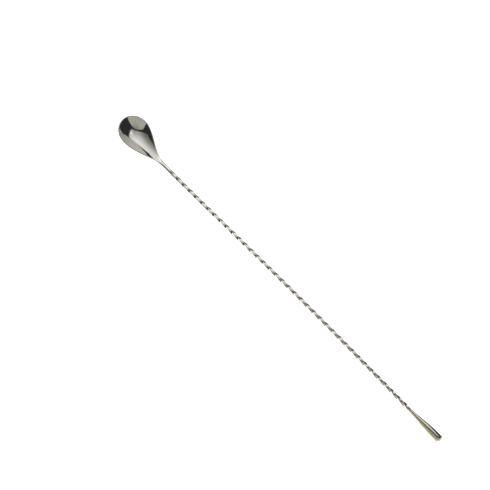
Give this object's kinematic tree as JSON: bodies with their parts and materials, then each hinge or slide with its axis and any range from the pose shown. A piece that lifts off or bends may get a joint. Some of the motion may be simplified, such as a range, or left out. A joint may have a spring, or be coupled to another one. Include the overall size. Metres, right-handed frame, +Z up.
{
  "type": "bar spoon",
  "caption": "Long bar spoon with a teardrop bowl, a twisted square shaft and a flat-ended teardrop weight, for stirring and measuring drinks.",
  "frame": {"origin": "middle of the footprint, on the surface that the spoon lies on", "axes": "+X from the bowl's tip to the weight's flat end, +Z up out of the bowl, +Y completes the right-handed frame"},
  "size_m": [0.4, 0.0288, 0.0163],
  "materials": {
    "bowl_steel": "stainless steel, machine polished, with fine polishing lines",
    "shaft_steel": "stainless steel bar, bright polished after twisting",
    "weight_steel": "turned stainless steel, bright polished, with fine turning lines",
    "braze": "silver braze metal, ground flush and polished"
  },
  "bodies": {
    "root": {"bowl": "bowl_steel", "shaft": "shaft_steel", "weight": "weight_steel", "neck_braze": "braze", "weight_braze": "braze"}
  },
  "joints": []
}
